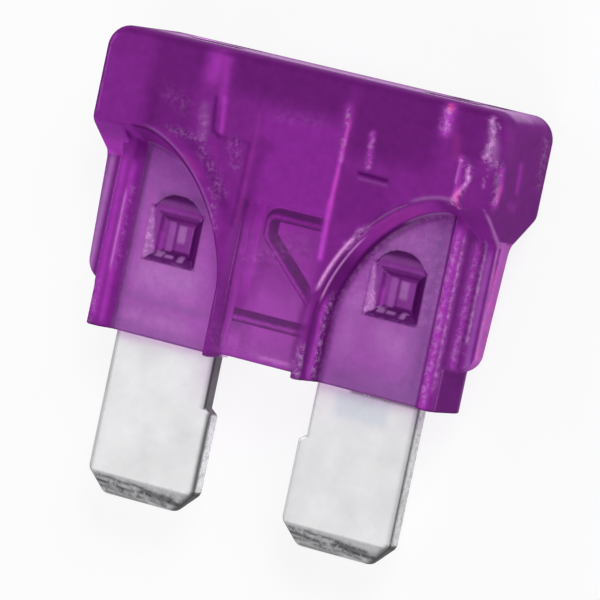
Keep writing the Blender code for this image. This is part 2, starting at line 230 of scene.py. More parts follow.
def bend(before, turn, after, radius, steps=5):
    """Arc that rounds one turn of a path."""
    u = (Vector(before) - Vector(turn)).normalized()
    v = (Vector(after) - Vector(turn)).normalized()
    half = u.angle(v) / 2
    centre = Vector(turn) + (u + v).normalized() * radius / math.sin(half)
    start = Vector(turn) + u * radius / math.tan(half) - centre
    end = Vector(turn) + v * radius / math.tan(half) - centre
    return [tuple(centre + start.slerp(end, step / steps) * radius) for step in range(steps + 1)]


def link_path():
    """Centre line of the Z-shaped link."""
    edge = STRIP_W / 2 - WAIST_W
    turns = [
        (-edge - LINK_BITE, LINK_LOW_Y),
        (LINK_LOW_X, LINK_LOW_Y),
        (LINK_LOW_X, LINK_LOW_Y + LINK_LOW_RISE),
        (LINK_HIGH_X, LINK_HIGH_Y - LINK_HIGH_RISE),
        (LINK_HIGH_X, LINK_HIGH_Y),
        (edge + LINK_BITE, LINK_HIGH_Y),
    ]
    path = [turns[0]]
    for before, turn, after in zip(turns, turns[1:], turns[2:]):
        path += bend(before, turn, after, LINK_BEND)
    return path + [turns[-1]]


def strip_distance(x, y, z):
    """The stamped strip."""
    ax = np.abs(x)
    outer = STRIP_W / 2
    inner = outer - BLADE_W
    tip = -BLADE_DROP
    ys = [-STEP_DROP - STEP_RUN, -STEP_DROP, WAIST_FOOT_Y, WAIST_Y]
    edges = [inner, inner + STEP_INSET, inner + STEP_INSET, outer - WAIST_W]
    edge, cosine = ramp(y, ys, edges)
    blade = both((edge - ax) * cosine, ax - outer)
    blade = both(blade, tip - y, TIP_EDGE_R)
    middle = (inner + outer) / 2
    slant = math.hypot(TIP_CUT_X, TIP_CUT_Y)
    reach = np.abs(ax - middle) - (BLADE_W / 2 - TIP_CUT_X)
    corner = (reach * TIP_CUT_Y - (y - tip) * TIP_CUT_X) / slant
    blade = both(blade, corner, STRIP_CORNER)
    blade = both(blade, y - SHOULDER_Y, STRIP_CORNER)
    tab = rectangle(ax, y, TAB_IN, SHOULDER_Y - TAB_ROOT, TAB_IN + TAB_W, TAB_TOP, TAB_CORNER)
    outline = either(blade, tab, TAB_CORNER)
    hole = both(np.abs(ax - STAKE_X) - HOLE_W / 2, np.abs(y - STAKE_Y) - HOLE_H / 2, HOLE_CORNER)
    outline = without(outline, hole)
    half, cosine = ramp(y, [tip, tip + TIP_BEVEL], [TIP_T / 2, STRIP_T / 2])
    sheet = both(outline, (np.abs(z) - half) * cosine, SHEET_EDGE_R)
    link = path_distance(x, y, link_path()) - LINK_W / 2
    link = both(link, np.abs(z) - LINK_T / 2, LINK_EDGE_R)
    return either(sheet, link, LINK_FILLET)


def arch_distance(x, y, z, side):
    """Open space beside the chamber and under the cap, seen from the front.

    The arch is a superellipse whose middle and size change with the depth z, because
    the walls between the panes and the faces of the cap have draft.
    """
    half_pane = WINDOW_T / 2
    share = (np.abs(z) - half_pane) / (CAP_T / 2 - half_pane)
    front_x = CHAMBER_W / 2 + side * CHAMBER_SHIFT
    foot_x = front_x + CHAMBER_DRAFT
    foot_run = WINDOW_X - WINDOW_FLAT - foot_x
    run = foot_run + (ARCH_RUN - foot_run) * share
    centre_x = foot_x + (front_x - foot_x) * share + run
    rise = WINDOW_TOP + (CAP_EDGE_Y - WINDOW_TOP) * share - ARCH_SPRING
    u = np.maximum(centre_x - side * x, 0) / run
    v = np.maximum(y - ARCH_SPRING, 0) / rise
    level = np.maximum((u ** ARCH_POWER + v ** ARCH_POWER) ** (1 / ARCH_POWER), 1e-6)
    slope = np.hypot((u / level) ** (ARCH_POWER - 1) / run, (v / level) ** (ARCH_POWER - 1) / rise)
    # Near the middle the slope means nothing, and any depth well inside will do.
    return np.where(level > 0.05, (level - 1) / np.maximum(slope, 1e-3), -1.5)


def shoulder_height(y, az):
    """How far a point lies above the sloping shoulder, measured along y."""
    return y - SHOULDER_FOOT_Y - SHOULDER_SLOPE * (az - RIB_T / 2)


def window_distance(x, y, z, side):
    """Open space in front of and behind one pane, pillar and rib."""
    az = np.abs(z)
    sx = side * x
    xs = [WINDOW_X, PILLAR_IN, PILLAR_OUT, RIB_ROOT_X]
    height, cosine = ramp(sx, xs, [WINDOW_T / 2, PILLAR_T / 2, PILLAR_T / 2, RIB_T / 2])
    above = (height - az) * cosine
    pane = both(arch_distance(x, y, z, side), sx - (PILLAR_IN + PILLAR_OUT) / 2)
    under = shoulder_height(y, az) / math.hypot(1, SHOULDER_SLOPE)
    flank = both(under, PILLAR_IN - sx)
    return both(either(pane, flank, PANE_FILLET), above, PILLAR_FILLET)


def outer_distance(x, y):
    """Outline of the moulding from the front."""
    ax = np.abs(x)
    corner = both(ax - CAP_W / 2, y - CAP_TOP, CAP_CORNER)
    ys = [RIB_FOOT_Y + RIB_FOOT_R, SHOULDER_FOOT_Y, (SHOULDER_FOOT_Y + CAP_EDGE_Y) / 2]
    edge, cosine = ramp(y, ys, [RIB_FOOT_W / 2, RIB_TOP_W / 2, CAP_W / 2])
    rib = both((ax - edge) * cosine, RIB_FOOT_Y - y, RIB_FOOT_R)
    return both(either(rib, ax - BODY_W / 2, RIB_FILLET), corner)


def void_distance(x, y, z):
    """Everything hollow in the moulding: link chamber, strip slot, tab pockets."""
    az, ax = np.abs(z), np.abs(x)
    share = (CAVITY_T - WINDOW_T) / (CAP_T - WINDOW_T)
    half = CHAMBER_W / 2 + CHAMBER_DRAFT * (1 - share) - SIDE_WALL
    across = np.abs(x - CHAMBER_SHIFT)
    cavity = both(across - half, az - CAVITY_T / 2, CAVITY_CORNER)
    cavity = both(cavity, y - CAVITY_TOP, CAVITY_END_R)
    lift = both(across - (CHAMBER_W / 2 - SIDE_WALL), y - FRONT_LIFT)
    lift = both(lift, CAVITY_T / 2 - SIDE_WALL - az)
    depth = STRIP_T / 2 + GAP_FACE
    slot = both(ax - STRIP_W / 2 - GAP_EDGE, y - SHOULDER_Y - GAP_TOP)
    tab_low, tab_high = TAB_IN - GAP_EDGE, TAB_IN + TAB_W + GAP_EDGE
    pocket = rectangle(ax, y, tab_low, SHOULDER_Y, tab_high, CAP_TOP + POCKET_PAST_TOP)
    slot = both(either(slot, pocket, POCKET_FILLET), az - depth)
    return either(either(cavity, lift), slot)


def pit_distance(x, y, z):
    """Stake pits and the shallow arcs above them."""
    az, ax = np.abs(z), np.abs(x)
    px, py = np.abs(ax - STAKE_X), np.abs(y - STAKE_Y)
    pit_top = STAKE_Y + PIT_H / 2
    radius = (CRATER_W * CRATER_W / 4 + CRATER_RISE * CRATER_RISE) / (2 * CRATER_RISE)
    crater_y = pit_top + CRATER_RISE - radius
    crater = both(np.hypot(ax - STAKE_X, y - crater_y) - radius, pit_top - CUT_OVERLAP - y)
    crater = both(crater, WINDOW_T / 2 - CRATER_DEPTH - az, CRATER_EDGE_R)
    share = (az - PEG_WEB / 2) / (WINDOW_T / 2 - PEG_WEB / 2)
    wall_x = px - (PIT_FLOOR_W + (PIT_W - PIT_FLOOR_W) * share) / 2
    wall_y = py - (PIT_FLOOR_H + (PIT_H - PIT_FLOOR_H) * share) / 2
    pit = both(both(wall_x * PIT_COS_X, wall_y * PIT_COS_Y), PEG_WEB / 2 - az, PIT_EDGE_R)
    pit = both(pit, az - WINDOW_T / 2 - CUT_OVERLAP)
    return either(pit, crater)


def housing_distance(x, y, z):
    """The moulded housing."""
    az, ax = np.abs(z), np.abs(x)
    body = both(outer_distance(x, y), az - CAP_T / 2, CAP_END_R)
    for side in (1, -1):
        body = without(body, window_distance(x, y, z, side), CHAMBER_EDGE_R)
    body = both(body, -y, SHARP_R)
    body = without(body, void_distance(x, y, z), SHARP_R)
    peg_w, peg_h = HOLE_W / 2 - GAP_PEG, HOLE_H / 2 - GAP_PEG
    peg = both(np.abs(ax - STAKE_X) - peg_w, np.abs(y - STAKE_Y) - peg_h, PEG_CORNER)
    body = either(body, both(peg, az - WINDOW_T / 2), PEG_FILLET)
    return without(body, pit_distance(x, y, z), PIT_EDGE_R)


# --- Meshing

def beside(index, u, v, du, dv):
    """Cells beside grid edges, stepped back along two axes."""
    cell = index.copy()
    cell[:, u] -= du
    cell[:, v] -= dv
    return tuple(cell.T)


def surface_net(distance, low, high, pitch):
    """Vertices and quads of the surface where distance is zero."""
    axes = [np.arange(a - 2 * pitch, b + 3 * pitch, pitch) for a, b in zip(low, high)]
    x, y, z = axes[0][:, None, None], axes[1][None, :, None], axes[2][None, None, :]
    field = np.broadcast_to(distance(x, y, z), [len(a) for a in axes]).astype(np.float32)
    inside = field < 0
    shape = tuple(size - 1 for size in field.shape)
    total = np.zeros((*shape, 3), np.float32)
    count = np.zeros(shape, np.int16)
    crossings = []
    for axis in range(3):
        lower = [slice(None)] * 3
        upper = [slice(None)] * 3
        lower[axis], upper[axis] = slice(0, -1), slice(1, None)
        a, b = field[tuple(lower)], field[tuple(upper)]
        cross = inside[tuple(lower)] != inside[tuple(upper)]
        index = np.argwhere(cross)
        share = (a[cross] / (a[cross] - b[cross]))[:, None]
        point = index.astype(np.float32)
        point[:, axis:axis + 1] += share
        crossings.append((axis, index, inside[tuple(lower)][cross]))
        u, v = [other for other in range(3) if other != axis]
        for du, dv in ((0, 0), (0, 1), (1, 0), (1, 1)):
            cell = beside(index, u, v, du, dv)
            np.add.at(total, cell, point)
            np.add.at(count, cell, 1)
    number = np.full(shape, -1, np.int64)
    used = count > 0
    number[used] = np.arange(used.sum())
    vertices = total[used] / count[used][:, None]
    vertices = vertices * pitch + np.array([a[0] for a in axes])
    quads = []
    for axis, index, starts_inside in crossings:
        u, v = (axis + 1) % 3, (axis + 2) % 3
        corners = ((1, 1), (0, 1), (0, 0), (1, 0))
        quad = np.stack([number[beside(index, u, v, du, dv)] for du, dv in corners], 1)
        quad[~starts_inside] = quad[~starts_inside][:, ::-1]
        quads.append(quad)
    return vertices, np.concatenate(quads)


def settle(distance, vertices, rounds=3):
    """Moves vertices onto the surface, along its normal."""
    step = 0.01
    longest = 0.05
    for _ in range(rounds):
        x, y, z = vertices.T
        value = distance(x, y, z)
        slope = np.stack([
            distance(x + step, y, z) - distance(x - step, y, z),
            distance(x, y + step, z) - distance(x, y - step, z),
            distance(x, y, z + step) - distance(x, y, z - step),
        ], 1) / (2 * step)
        size = np.maximum((slope ** 2).sum(1), 0.05)
        vertices = vertices - slope * np.clip(value / size, -longest, longest)[:, None]
    return vertices


def mesh_piece(name, distance, low, high, pitch, share, keep=None):
    """Object whose surface follows a distance function, reduced where keep() doesn't hold."""
    vertices, quads = surface_net(distance, low, high, pitch)
    vertices = settle(distance, vertices)
    mesh = bpy.data.meshes.new(name)
    mesh.from_pydata(place(vertices).tolist(), [], quads.tolist())
    mesh.update()
    piece = add_object(name, mesh)
    modifier = piece.modifiers.new("reduce", "DECIMATE")
    modifier.ratio = share
    modifier.use_collapse_triangulate = True
    if keep is not None:
        free = piece.vertex_groups.new(name="free")
        free.add(np.flatnonzero(~keep(*vertices.T)).tolist(), 1.0, "REPLACE")
        modifier.vertex_group = free.name
    apply_modifiers(piece)
    piece.vertex_groups.clear()
    drop_flat_faces(piece.data)
    piece.data.shade_smooth()
    weighted = piece.modifiers.new("normals", "WEIGHTED_NORMAL")
    weighted.mode = "FACE_AREA"
    weighted.weight = 50
    apply_modifiers(piece)
    return piece


def drop_flat_faces(mesh):
    """Deletes the faces without area that the reduction leaves behind."""
    made = bmesh.new()
    made.from_mesh(mesh)
    bmesh.ops.dissolve_degenerate(made, dist=0.0001 * MM, edges=made.edges[:])
    made.to_mesh(mesh)
    made.free()


def apply_modifiers(piece):
    """Keeps what the modifiers make as the object's own mesh."""
    graph = bpy.context.evaluated_depsgraph_get()
    made = bpy.data.meshes.new_from_object(piece.evaluated_get(graph))
    piece.modifiers.clear()
    piece.data = made


# --- Painting

def read(vertices, name):
    """One vector of each vertex."""
    values = np.empty(len(vertices) * 3, np.float32)
    vertices.foreach_get(name, values)
    return values.reshape(-1, 3).astype(float)


class Paint:
    """Milky coats on a piece's vertices: smooth ones, and flecks that the material breaks up."""

    def __init__(self, piece, colour, cover):
        points = read(piece.data.vertices, "co") / MM + (0.0, MID_Y, -CAP_T / 2)
        self.piece = piece
        self.x, self.y, self.z = points.T
        self.ax, self.az = np.abs(self.x), np.abs(self.z)
        self.nx, self.ny, self.nz = read(piece.data.vertices, "normal").T
        self.skin = np.zeros((len(points), 4))
        self.skin[:, :3] = colour
        self.skin[:, 3] = cover
        self.flecks = np.zeros((len(points), 4))

    def coat(self, colour, strength):
        """One more smooth coat."""
        lay(self.skin, colour, strength)

    def tint(self, colour, strength):
        """Another colour under the same cover."""
        share = np.clip(strength, 0, 1)[:, None]
        self.skin[:, :3] = self.skin[:, :3] * (1 - share) + np.array(colour) * share

    def fleck(self, colour, strength):
        """One more coat of flecks."""
        lay(self.flecks, colour, strength)

    def keep(self):
        """Stores both as the attributes that the material reads."""
        attributes = self.piece.data.color_attributes
        for name, values in (("skin", self.skin), ("flecks", self.flecks)):
            attribute = attributes.new(name=name, type="FLOAT_COLOR", domain="POINT")
            attribute.data.foreach_set("color", values.astype(np.float32).ravel())


def lay(layer, colour, strength):
    """Lays a colour over a layer of colour and cover."""
    strength = np.clip(np.broadcast_to(strength, layer.shape[:1]), 0, 1)
    cover = layer[:, 3] * (1 - strength) + strength
    share = (strength / np.maximum(cover, 1e-6))[:, None]
    layer[:, :3] = layer[:, :3] * (1 - share) + np.array(colour) * share
    layer[:, 3] = cover


def smooth(value, low, high):
    """0 below low, 1 above high, soft between."""
    share = np.clip((value - low) / (high - low), 0, 1)
    return share * share * (3 - 2 * share)


def near(distance, width):
    """1 on a line, fading to 0 about one width away."""
    return np.exp(-(distance / width) ** 2 * 2)


def stroke(x, y, path, width):
    """Soft line along a path."""
    return near(path_distance(x, y, path), width)


def within(value, low, high, soft=0.1):
    """1 between two limits, with soft ends."""
    return smooth(value, low - soft, low + soft) * (1 - smooth(value, high - soft, high + soft))


def draw(lay_coat, where, u, v, marks):
    """Lays each mark of a table along its path: colour, strength, width, path."""
    for colour, strength, width, path in marks:
        lay_coat(colour, where * strength * stroke(u, v, path, width))


def draw_streaks(lay_coat, where, x, y, streaks):
    """Lays upright streaks from a table: colour, strength, x, width, y0, y1."""
    for colour, strength, middle, width, y0, y1 in streaks:
        lay_coat(colour, where * strength * near(x - middle, width) * within(y, y0, y1, 0.3))


def on_face(az):
    """1 on the front and back faces of the cap and the chamber."""
    return smooth(az, CAP_T / 2 - 0.3, CAP_T / 2 - 0.12)


def on_pane(az):
    """1 on the faces of the panes and below them."""
    return 1 - smooth(az, WINDOW_T / 2 + 0.05, WINDOW_T / 2 + 0.2)


# --- Colours and marks of the housing
# Strengths and covers go from 0 to 1, and places and widths are in millimetres.

VIOLET = (0.237, 0.0226, 0.283)
LIGHT = (0.33, 0.035, 0.41)  # painted light: brighter violet of the left end and the shoulders
PLUM = (0.125, 0.010, 0.150)  # painted shade: thick plastic with nothing bright behind it
DEEP = (0.060, 0.002, 0.080)  # painted shade in grooves and on edges that turn away
GLOW = (0.55, 0.06, 0.62)  # where light gathers in an edge
PINK = (0.85, 0.09, 0.50)  # redder parts of that light
HOT = (1.0, 0.10, 0.42)  # painted light: the one red spot where light gathers at the cap's top
ROSE = (0.90, 0.38, 0.90)  # nearly white highlights
LILAC = (0.52, 0.24, 0.58)  # painted highlights on pale edges, and worn skin
MAUVE = (0.39, 0.115, 0.45)  # the panes, with the metal behind them
WINE = (0.36, 0.065, 0.42)  # the clearer plastic in front of the link
DUSK = (0.27, 0.10, 0.34)  # greyer parts of the panes
SHADE = (0.17, 0.05, 0.23)  # shadow beside the right pillar
SCUFF_AND_GLINT = (0.62, 0.38, 0.66)  # scratched, whitish skin, and painted glints on edges and the top
BACKLIGHT_GLOW = (0.92, 0.80, 0.95)  # painted light scattered behind the link

# Soft fields on the cap and the chamber, mostly painted light and shade: colour, strength, x0, x1, y0,
# y1, softness
FACE_FIELDS = (
    (LIGHT, 0.25, -9.6, -7.4, 7.0, 11.0, 0.7),
    (PLUM, 0.5, -7.0, -4.7, 8.5, 12.5, 0.4),
    (PLUM, 0.62, -3.3, 2.4, 10.6, 12.5, 0.5),
    (PLUM, 0.6, 2.6, 6.6, 9.3, 12.5, 0.5),
    (PLUM, 0.3, 2.7, 5.0, 6.6, 8.6, 0.3),
    (PLUM, 0.5, 7.3, 8.7, 10.2, 12.5, 0.3),
    (PLUM, 0.3, -9.6, 9.6, 12.0, 12.6, 0.15),
    (LIGHT, 0.2, -1.8, 2.4, 6.0, 10.4, 0.3),
    (WINE, 0.9, -1.6, 2.2, -0.5, 5.8, 0.5),
)

# Marks on those faces: painted light where it gathers, and painted shade where the thickness changes
FACE_MARKS = (
    (PLUM, 0.5, 0.35, ((-6.6, 9.9), (-6.55, 8.4))),
    (PLUM, 0.5, 0.3, ((-4.9, 12.1), (-4.85, 11.4))),
    (GLOW, 0.4, 0.55, ((-4.0, 12.2), (-4.1, 11.1))),
    (GLOW, 0.3, 0.3, ((-3.55, 11.8), (-3.45, 10.2))),
    (GLOW, 0.5, 0.17, ((-3.35, 10.3), (-3.2, 9.0))),
    (DEEP, 0.6, 0.13, ((-3.75, 10.25), (-3.62, 8.95), (-3.3, 8.78))),
    (DEEP, 0.3, 0.14, ((-3.3, 8.75), (-1.8, 8.8))),
    (LILAC, 0.15, 0.3, ((-4.2, 9.8), (-4.0, 8.7))),
    (PLUM, 0.35, 0.35, ((-1.2, 8.95), (-0.85, 8.8))),
    (PLUM, 0.6, 0.13, ((-1.8, 8.7), (-1.85, 5.4))),
    (PLUM, 0.45, 0.35, ((-1.2, 8.6), (-1.3, 5.8))),
    (PINK, 0.06, 0.14, ((-1.6, 10.0), (-1.6, 5.6))),
    (GLOW, 0.3, 0.32, ((2.35, 11.1), (2.4, 10.5))),
    (PINK, 0.25, 0.14, ((2.5, 10.6), (2.45, 9.0))),
    (GLOW, 0.85, 0.09, ((2.5, 10.4), (2.45, 9.0))),
    (GLOW, 0.9, 0.12, ((2.45, 9.0), (2.4, 7.2))),
    (PINK, 0.2, 0.13, ((2.45, 8.6), (2.45, 6.0))),
    (GLOW, 0.9, 0.17, ((2.4, 7.2), (2.45, 5.0))),
    (GLOW, 0.5, 0.18, ((3.65, 10.3), (3.75, 9.0))),
    (DEEP, 0.9, 0.12, ((3.4, 8.66), (4.7, 8.62))),
    (LILAC, 0.14, 0.08, ((3.45, 8.45), (4.75, 8.42))),
    (PLUM, 0.5, 0.3, ((6.1, 12.2), (6.1, 11.2))),
    (GLOW, 0.75, 0.33, ((6.85, 12.1), (6.85, 11.1))),
    (HOT, 0.9, 0.16, ((6.8, 12.1), (6.85, 12.0))),
    (PINK, 0.1, 0.3, ((7.4, 10.9), (7.6, 10.2))),
    (GLOW, 0.5, 0.14, ((7.8, 10.2), (7.85, 9.3), (7.8, 8.2), (7.85, 7.4))),
    (GLOW, 0.75, 0.11, ((8.2, 9.85), (8.25, 9.4), (8.0, 8.9))),
    (PINK, 0.85, 0.14, ((7.95, 8.85), (7.9, 8.5), (8.05, 8.1))),
    (VIOLET, 0.7, 0.2, ((8.1, 9.7), (8.1, 9.3))),
    (LILAC, 0.35, 0.3, ((9.1, 11.0), (9.25, 10.4))),
    (SCUFF_AND_GLINT, 0.35, 0.16, ((8.8, 11.8), (9.0, 11.2), (8.85, 10.5))),
    (ROSE, 0.35, 0.06, ((8.2, 9.9), (8.3, 9.5), (8.1, 9.0), (7.85, 8.7))),
    (ROSE, 0.25, 0.06, ((7.8, 10.1), (7.75, 9.2))),
)

# Flecked wear and flecked painted highlights on those faces
FACE_FLECKS = (
    (LILAC, 0.2, 0.5, ((-5.9, 9.95), (-5.0, 9.6))),
    (LILAC, 0.5, 0.3, ((-4.2, 9.6), (-4.0, 8.8))),
    (LILAC, 0.45, 0.25, ((-5.7, 8.6), (-4.0, 8.45))),
    (LILAC, 0.6, 0.35, ((-2.5, 8.6), (-2.2, 7.8))),
    (LILAC, 0.5, 0.35, ((-3.9, 8.1), (-2.6, 6.6))),
    (LILAC, 0.55, 0.25, ((-3.1, 6.6), (-2.6, 5.0))),
    (LILAC, 0.15, 0.4, ((-0.7, 10.1), (1.2, 10.3))),
    (SCUFF_AND_GLINT, 0.5, 0.16, ((2.35, 11.0), (2.45, 9.0))),
    (SCUFF_AND_GLINT, 0.5, 0.2, ((3.65, 10.2), (3.75, 9.0))),
    (SCUFF_AND_GLINT, 0.8, 0.3, ((6.8, 12.0), (6.8, 11.2))),
    (SCUFF_AND_GLINT, 0.7, 0.2, ((7.85, 10.1), (8.3, 9.8), (8.1, 9.0), (7.8, 8.2))),
    (ROSE, 0.95, 0.22, ((8.8, 11.9), (9.0, 11.3), (8.9, 10.6), (8.8, 10.4), (9.25, 10.25))),
    (ROSE, 0.9, 0.13, ((7.85, 10.1), (8.25, 9.8), (8.3, 9.4), (8.1, 9.0), (7.8, 8.6))),
    (ROSE, 0.8, 0.09, ((9.05, 10.1), (9.0, 9.3))),
    (SCUFF_AND_GLINT, 0.7, 0.2, ((7.7, 8.3), (9.0, 7.9))),
    (LILAC, 0.25, 0.5, ((-1.7, 1.0), (2.0, 0.5))),
    (LILAC, 0.35, 0.8, ((-0.6, 4.4), (1.6, 5.2))),
)

# Marks of painted light on the right end face, with paths in y and z
END_MARKS = (
    (GLOW, 0.45, 0.22, ((10.3, 0.3), (9.3, 0.2))),
    (GLOW, 0.6, 0.3, ((10.0, 1.75), (9.3, 1.6), (8.7, 1.75))),
    (PINK, 0.45, 0.2, ((9.3, 1.6), (8.85, 1.7))),
    (GLOW, 0.2, 0.25, ((8.7, 0.6), (8.6, 0.1))),
    (GLOW, 0.12, 0.6, ((11.4, 1.7), (10.8, 1.5))),
)

END_FLECKS = (
    (SCUFF_AND_GLINT, 0.7, 0.25, ((10.2, 1.9), (8.6, 1.8))),
    (SCUFF_AND_GLINT, 0.35, 0.4, ((11.4, -1.4), (9.8, -1.5))),
)

# Streaks of painted light and shade down the pillars and ribs
STREAKS = (
    (DUSK, 0.6, 7.3, 0.2, 0.0, 7.6),
    (PLUM, 0.6, 7.55, 0.08, 0.0, 7.6),
    (GLOW, 0.55, 7.85, 0.28, 0.0, 7.4),
    (MAUVE, 0.5, 8.14, 0.1, 0.8, 7.2),
    (PLUM, 0.55, 8.3, 0.07, 1.8, 7.2),
    (GLOW, 0.45, 8.49, 0.09, 1.8, 7.0),
    (PLUM, 0.8, 8.62, 0.05, 1.8, 7.0),
    (LILAC, 0.5, 8.74, 0.07, 3.0, 7.0),
    (LIGHT, 0.6, 8.98, 0.2, 1.5, 7.0),
    (LILAC, 0.25, 8.95, 0.2, 1.8, 6.6),
    (PLUM, 0.5, 9.12, 0.06, 1.5, 7.0),
    (LILAC, 0.75, 9.24, 0.05, 2.2, 7.4),
    (LILAC, 0.6, -9.08, 0.22, 1.6, 6.9),
    (PLUM, 0.6, -8.82, 0.05, 1.6, 6.9),
    (DUSK, 0.7, -8.55, 0.22, 1.6, 6.6),
    (LILAC, 0.3, -8.5, 0.15, 1.6, 6.4),
    (GLOW, 0.45, -7.95, 0.28, 0.3, 7.0),
    (ROSE, 0.75, -7.62, 0.06, 2.5, 5.6),
    (GLOW, 0.55, -7.56, 0.14, 0.2, 6.8),
    (VIOLET, 0.7, -7.34, 0.08, 0.3, 7.2),
    (DEEP, 0.5, -7.2, 0.12, 0.0, 7.5),
    (DUSK, 0.6, -7.0, 0.12, 0.3, 5.6),
)

# Flecked wear and flecked painted highlights on the pillars and ribs
STREAK_FLECKS = (
    (SCUFF_AND_GLINT, 0.7, 7.8, 0.2, 0.3, 7.2),
    (ROSE, 0.7, 8.14, 0.09, 1.0, 7.0),
    (SCUFF_AND_GLINT, 0.7, 8.74, 0.12, 2.6, 7.0),
    (SCUFF_AND_GLINT, 0.5, 8.49, 0.1, 2.0, 7.0),
    (PINK, 0.5, 9.3, 0.1, 1.8, 6.9),
    (SCUFF_AND_GLINT, 0.4, -8.05, 0.2, 0.0, 1.8),
    (LILAC, 0.5, -7.45, 0.1, 2.6, 6.0),
)

# Stripes and blotches on the panes, among them a painted shadow beside the right pillar
PANE_MARKS = (
    (DUSK, 0.55, 0.28, ((-7.1, 1.55), (-3.2, 1.5))),
    (DUSK, 0.35, 0.2, ((-6.9, 1.05), (-4.0, 0.95))),
    (DUSK, 0.6, 0.45, ((-7.2, 0.3), (-3.1, 0.1))),
    (LILAC, 0.45, 0.9, ((-6.2, 2.5), (-4.2, 2.6))),
    (LILAC, 0.3, 0.5, ((-6.6, 0.75), (-4.0, 0.7))),
    (SHADE, 0.7, 0.35, ((6.9, 7.2), (7.0, 0.0))),
    (LILAC, 0.2, 1.0, ((4.8, 6.4), (6.6, 6.8))),
    (DUSK, 0.5, 0.8, ((6.6, 6.6), (6.8, 0.0))),
    (DUSK, 0.75, 1.0, ((3.6, 0.3), (6.8, 0.3))),
    (LILAC, 0.35, 0.8, ((5.2, 2.4), (5.9, 2.2))),
    (LILAC, 0.25, 0.6, ((3.7, 3.6), (3.5, 1.6))),
)

# Dark pieces of painted shade along the top edge's rear: x0, x1 and the z that they reach forward to
TOP_GAPS = (
    (-5.7, -4.2, -1.2),
    (-4.2, 3.2, -1.8),
    (5.0, 5.9, -0.6),
    (6.4, 7.7, -0.7),
)

# Light patches on a pit's walls and floor, about its middle: u0, u1, v0, v1
PIT_GLINTS = (
    (-0.8, -0.45, -0.9, -0.68),
    (-0.35, 0.05, -0.88, -0.76),
    (0.3, 0.55, -0.95, -0.7),
)


def paint_faces(paint, outside):
    """Fields and marks of painted light and shade, and flecks, on the cap's and chamber's faces."""
    x, y = paint.x, paint.y
    face = outside * on_face(paint.az)
    for colour, strength, x0, x1, y0, y1, soft in FACE_FIELDS:
        paint.tint(colour, face * strength * within(x, x0, x1, soft) * within(y, y0, y1, soft))
    draw(paint.coat, face, x, y, FACE_MARKS)
    draw(paint.fleck, face, x, y, FACE_FLECKS)


def paint_ends(paint, outside):
    """Painted shade on the end faces with painted glow marks on the right one, painted light on the
    shoulders, and a painted highlight on the pale edge between them.
    """
    x, y = paint.x, paint.y
    high = outside * smooth(y, 6.8, 7.2)
    end = high * smooth(np.abs(paint.nx), 0.4, 0.8)
    paint.coat(PLUM, 0.35 * end)
    # Painted shade on the left end's rounded edge.
    paint.coat(VIOLET, 0.85 * high * smooth(-paint.nx, 0.1, 0.4) * (x < -8))
    paint.coat(PLUM, 0.6 * high * smooth(-paint.nx, 0.3, 0.6) * (x < -9.2))
    draw(paint.coat, end * (x > 0), y, paint.z, END_MARKS)
    draw(paint.fleck, end * (x > 0), y, paint.z, END_FLECKS)
    # Painted light on the shoulders' undersides, with some painted shade on the right one.
    under = outside * smooth(-paint.ny, 0.25, 0.5) * within(y, 6.8, 8.5) * smooth(paint.ax, 7.3, 7.6)
    paint.coat(LIGHT, under * np.where(x > 0, 0.2, 0.5))
    paint.coat(GLOW, under * np.where(x > 0, 0.1, 0.7 - 0.6 * smooth(y, 7.2, 8.0)))
    paint.coat(PLUM, 0.3 * under * (x > 0) * smooth(y, 7.2, 7.8))
    # Painted highlight on the pale edge at the right shoulder.
    edge = near(shoulder_height(y, paint.az) - 0.03, 0.05)
    paint.coat(LILAC, 0.75 * outside * edge * smooth(x, 9.2, 9.35) * within(y, 7.0, 8.7))


def paint_top(paint, outside):
    """Pale top edge, partly wear and partly painted highlight, with painted shade along its front and in
    dark pieces along its rear.
    """
    x, y, z = paint.x, paint.y, paint.z
    top = outside * smooth(paint.ny, 0.35, 0.7) * smooth(y, 11.9, 12.15)
    front = outside * smooth(paint.ny, 0.2, 0.5) * smooth(y, 11.7, 12.0) * smooth(z, 0.8, 1.4)
    inner = top * within(x, -7.6, 9.0, 0.6)
    paint.coat(PLUM, 0.45 * front)
    paint.coat(LILAC, 0.65 * inner * within(z, -1.7, 0.9, 0.3))
    paint.coat(SCUFF_AND_GLINT, 0.4 * inner * within(z, -0.6, 1.0, 0.25))
    paint.coat(ROSE, 0.95 * top * within(x, -7.2, -6.2, 0.2) * within(z, -1.3, 0.5, 0.3))
    paint.fleck(SCUFF_AND_GLINT, 0.6 * inner * within(z, -1.0, 0.8, 0.3))
    for x0, x1, reach in TOP_GAPS:
        rear = 1 - smooth(z, reach - 0.2, reach + 0.2)
        paint.coat(DEEP, 0.9 * top * rear * within(x, x0, x1, 0.12))


